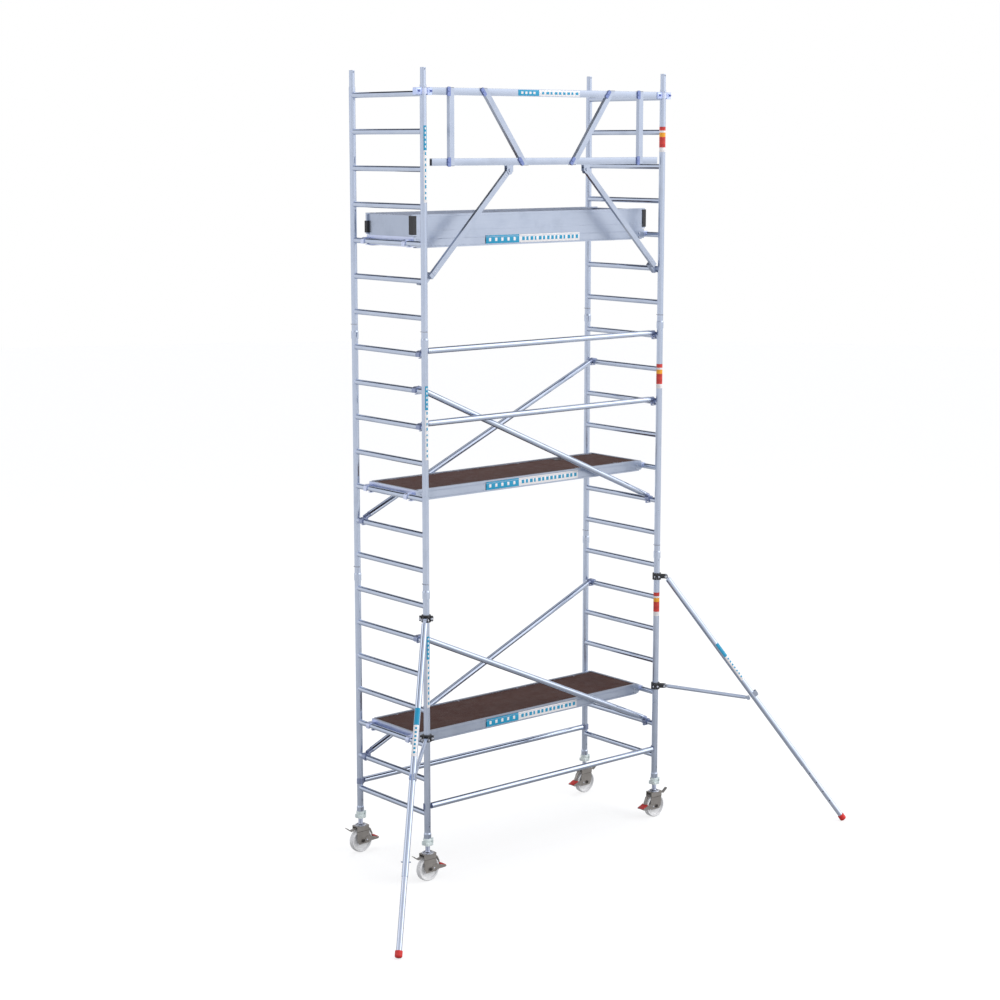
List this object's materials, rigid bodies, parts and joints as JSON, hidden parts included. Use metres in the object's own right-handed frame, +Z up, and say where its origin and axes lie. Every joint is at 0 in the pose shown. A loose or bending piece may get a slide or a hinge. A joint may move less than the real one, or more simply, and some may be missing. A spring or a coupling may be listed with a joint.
{
  "type": "mobile tower scaffold",
  "caption": "Mobile aluminium access tower with ladder end frames, platforms with hatches, braces, guardrail, toeboards, levelling castors and swing-out outriggers.",
  "frame": {"origin": "on the floor, under the middle of the whole bounding box", "axes": "+Z up, +X along the platforms from the left end frame to the right one, +Y from the outriggers' side to the rear"},
  "size_m": [4.8838, 2.1138, 6.342],
  "materials": {
    "leg_aluminium": "satin drawn tube",
    "spigot_aluminium": "satin",
    "spring_steel": "zinc plated wire",
    "brace_aluminium": "satin drawn tube with cast claws",
    "platform_aluminium": "mill finish extrusion",
    "deck_ply": "brown phenolic anti-slip film on plywood",
    "hatch_ply": "brown phenolic anti-slip film on plywood",
    "toeboard_aluminium": "mill finish extrusion",
    "black_plastic": "moulded",
    "rail_aluminium": "mill finish extrusion",
    "zinc_steel": "zinc plated thread",
    "nut_nylon": "natural nylon",
    "fork_steel": "pressed zinc plated sheet",
    "wheel_nylon": "white nylon",
    "brake_steel": "pressed steel with red tread",
    "clamp_black": "black coated",
    "outrigger_aluminium": "satin drawn tube",
    "extension_aluminium": "satin drawn tube",
    "red_rubber": "moulded"
  },
  "bodies": {
    "tower": {"ladder_frame_lower_left": "leg_aluminium", "ladder_frame_lower_right": "leg_aluminium", "ladder_frame_middle_left": "leg_aluminium", "ladder_frame_middle_right": "leg_aluminium", "ladder_frame_upper_left": "leg_aluminium", "ladder_frame_upper_right": "leg_aluminium", "spigots": "spigot_aluminium", "locking_clips": "spring_steel", "diagonal_lower_front": "brace_aluminium", "diagonal_lower_rear": "brace_aluminium", "diagonal_middle_front": "brace_aluminium", "diagonal_middle_rear": "brace_aluminium", "guard_tube_upper": "brace_aluminium", "guard_tube_lower": "brace_aluminium", "base_brace_front": "brace_aluminium", "base_brace_rear": "brace_aluminium", "platform_frame_lower": "platform_aluminium", "deck_lower": "deck_ply", "platform_frame_middle": "platform_aluminium", "deck_middle": "deck_ply", "platform_frame_upper": "platform_aluminium", "deck_upper": "deck_ply", "toeboards_long": "toeboard_aluminium", "toeboards_end": "toeboard_aluminium", "toeboard_brackets": "black_plastic", "guardrail_frame": "rail_aluminium"},
    "spindle_front_left": {"spindle_front_left": "zinc_steel"},
    "nut_front_left": {"nut_front_left": "nut_nylon"},
    "fork_front_left": {"fork_front_left": "fork_steel"},
    "wheel_front_left": {"wheel_front_left": "wheel_nylon"},
    "brake_front_left": {"brake_front_left": "brake_steel"},
    "spindle_front_right": {"spindle_front_right": "zinc_steel"},
    "nut_front_right": {"nut_front_right": "nut_nylon"},
    "fork_front_right": {"fork_front_right": "fork_steel"},
    "wheel_front_right": {"wheel_front_right": "wheel_nylon"},
    "brake_front_right": {"brake_front_right": "brake_steel"},
    "spindle_rear_left": {"spindle_rear_left": "zinc_steel"},
    "nut_rear_left": {"nut_rear_left": "nut_nylon"},
    "fork_rear_left": {"fork_rear_left": "fork_steel"},
    "wheel_rear_left": {"wheel_rear_left": "wheel_nylon"},
    "brake_rear_left": {"brake_rear_left": "brake_steel"},
    "spindle_rear_right": {"spindle_rear_right": "zinc_steel"},
    "nut_rear_right": {"nut_rear_right": "nut_nylon"},
    "fork_rear_right": {"fork_rear_right": "fork_steel"},
    "wheel_rear_right": {"wheel_rear_right": "wheel_nylon"},
    "brake_rear_right": {"brake_rear_right": "brake_steel"},
    "hatch_middle": {"hatch_middle": "hatch_ply"},
    "hatch_upper": {"hatch_upper": "hatch_ply"},
    "guardrail_strut_left": {"guardrail_strut_left": "rail_aluminium"},
    "outrigger_left": {"outrigger_clamps_left": "clamp_black", "outrigger_tube_left": "outrigger_aluminium", "outrigger_arm_left": "outrigger_aluminium"},
    "outrigger_extension_left": {"outrigger_extension_left": "extension_aluminium", "outrigger_foot_left": "red_rubber"},
    "guardrail_strut_right": {"guardrail_strut_right": "rail_aluminium"},
    "outrigger_right": {"outrigger_clamps_right": "clamp_black", "outrigger_tube_right": "outrigger_aluminium", "outrigger_arm_right": "outrigger_aluminium"},
    "outrigger_extension_right": {"outrigger_extension_right": "extension_aluminium", "outrigger_foot_right": "red_rubber"}
  },
  "joints": [
    {"name": "level_front_left", "type": "slide", "parent": "tower", "child": "spindle_front_left", "axis": [0, 0, 1], "range_m": [-0.25, 0]},
    {"name": "nut_turn_front_left", "type": "hinge", "parent": "tower", "child": "nut_front_left", "pos_m": [-1.25, 0.1149, 0.314], "axis": [0, 0, 1], "range_deg": [-9000, 0]},
    {"name": "swivel_front_left", "type": "hinge", "parent": "spindle_front_left", "child": "fork_front_left", "pos_m": [-1.25, 0.1149, 0.228], "axis": [0, 0, 1], "continuous": true},
    {"name": "wheel_roll_front_left", "type": "hinge", "parent": "fork_front_left", "child": "wheel_front_left", "pos_m": [-1.25, 0.1149, 0.1], "axis": [0, 1, 0], "continuous": true},
    {"name": "brake_pedal_front_left", "type": "hinge", "parent": "fork_front_left", "child": "brake_front_left", "pos_m": [-1.25, 0.1149, 0.1], "axis": [0, -1, 0], "range_deg": [0, 8]},
    {"name": "level_front_right", "type": "slide", "parent": "tower", "child": "spindle_front_right", "axis": [0, 0, 1], "range_m": [-0.25, 0]},
    {"name": "nut_turn_front_right", "type": "hinge", "parent": "tower", "child": "nut_front_right", "pos_m": [1.25, 0.1149, 0.314], "axis": [0, 0, 1], "range_deg": [-9000, 0]},
    {"name": "swivel_front_right", "type": "hinge", "parent": "spindle_front_right", "child": "fork_front_right", "pos_m": [1.25, 0.1149, 0.228], "axis": [0, 0, 1], "continuous": true},
    {"name": "wheel_roll_front_right", "type": "hinge", "parent": "fork_front_right", "child": "wheel_front_right", "pos_m": [1.25, 0.1149, 0.1], "axis": [0, 1, 0], "continuous": true},
    {"name": "brake_pedal_front_right", "type": "hinge", "parent": "fork_front_right", "child": "brake_front_right", "pos_m": [1.25, 0.1149, 0.1], "axis": [0, 1, 0], "range_deg": [0, 8]},
    {"name": "level_rear_left", "type": "slide", "parent": "tower", "child": "spindle_rear_left", "axis": [0, 0, 1], "range_m": [-0.25, 0]},
    {"name": "nut_turn_rear_left", "type": "hinge", "parent": "tower", "child": "nut_rear_left", "pos_m": [-1.25, 1.0129, 0.314], "axis": [0, 0, 1], "range_deg": [-9000, 0]},
    {"name": "swivel_rear_left", "type": "hinge", "parent": "spindle_rear_left", "child": "fork_rear_left", "pos_m": [-1.25, 1.0129, 0.228], "axis": [0, 0, 1], "continuous": true},
    {"name": "wheel_roll_rear_left", "type": "hinge", "parent": "fork_rear_left", "child": "wheel_rear_left", "pos_m": [-1.25, 1.0129, 0.1], "axis": [0, 1, 0], "continuous": true},
    {"name": "brake_pedal_rear_left", "type": "hinge", "parent": "fork_rear_left", "child": "brake_rear_left", "pos_m": [-1.25, 1.0129, 0.1], "axis": [0, -1, 0], "range_deg": [0, 8]},
    {"name": "level_rear_right", "type": "slide", "parent": "tower", "child": "spindle_rear_right", "axis": [0, 0, 1], "range_m": [-0.25, 0]},
    {"name": "nut_turn_rear_right", "type": "hinge", "parent": "tower", "child": "nut_rear_right", "pos_m": [1.25, 1.0129, 0.314], "axis": [0, 0, 1], "range_deg": [-9000, 0]},
    {"name": "swivel_rear_right", "type": "hinge", "parent": "spindle_rear_right", "child": "fork_rear_right", "pos_m": [1.25, 1.0129, 0.228], "axis": [0, 0, 1], "continuous": true},
    {"name": "wheel_roll_rear_right", "type": "hinge", "parent": "fork_rear_right", "child": "wheel_rear_right", "pos_m": [1.25, 1.0129, 0.1], "axis": [0, 1, 0], "continuous": true},
    {"name": "brake_pedal_rear_right", "type": "hinge", "parent": "fork_rear_right", "child": "brake_rear_right", "pos_m": [1.25, 1.0129, 0.1], "axis": [0, 1, 0], "range_deg": [0, 8]},
    {"name": "hatch_open_middle", "type": "hinge", "parent": "tower", "child": "hatch_middle", "pos_m": [0.758, 0.3099, 3.119], "axis": [1, 0, 0], "range_deg": [0, 90]},
    {"name": "hatch_open_upper", "type": "hinge", "parent": "tower", "child": "hatch_upper", "pos_m": [0.758, 0.3099, 5.079], "axis": [1, 0, 0], "range_deg": [0, 90]},
    {"name": "strut_fold_left", "type": "hinge", "parent": "tower", "child": "guardrail_strut_left", "pos_m": [-0.403, 0.1239, 5.576], "axis": [0, -1, 0], "range_deg": [0, 44]},
    {"name": "outrigger_swing_left", "type": "hinge", "parent": "tower", "child": "outrigger_left", "pos_m": [-1.25, 0.1149, 2.135], "axis": [0, 0, 1], "range_deg": [-42, 42]},
    {"name": "outrigger_extend_left", "type": "slide", "parent": "outrigger_left", "child": "outrigger_extension_left", "axis": [-0.4229, -0.4156, -0.8052], "range_m": [-0.5, 0]},
    {"name": "strut_fold_right", "type": "hinge", "parent": "tower", "child": "guardrail_strut_right", "pos_m": [0.403, 0.1239, 5.576], "axis": [0, 1, 0], "range_deg": [0, 44]},
    {"name": "outrigger_swing_right", "type": "hinge", "parent": "tower", "child": "outrigger_right", "pos_m": [1.25, 0.1149, 2.135], "axis": [0, 0, 1], "range_deg": [-42, 42]},
    {"name": "outrigger_extend_right", "type": "slide", "parent": "outrigger_right", "child": "outrigger_extension_right", "axis": [0.4229, -0.4156, -0.8052], "range_m": [-0.5, 0]}
  ],
  "couplings": [
    {"joint": "nut_turn_front_left", "follows": "level_front_left", "rad_per_m": 628.32},
    {"joint": "nut_turn_front_right", "follows": "level_front_right", "rad_per_m": 628.32},
    {"joint": "nut_turn_rear_left", "follows": "level_rear_left", "rad_per_m": 628.32},
    {"joint": "nut_turn_rear_right", "follows": "level_rear_right", "rad_per_m": 628.32}
  ]
}
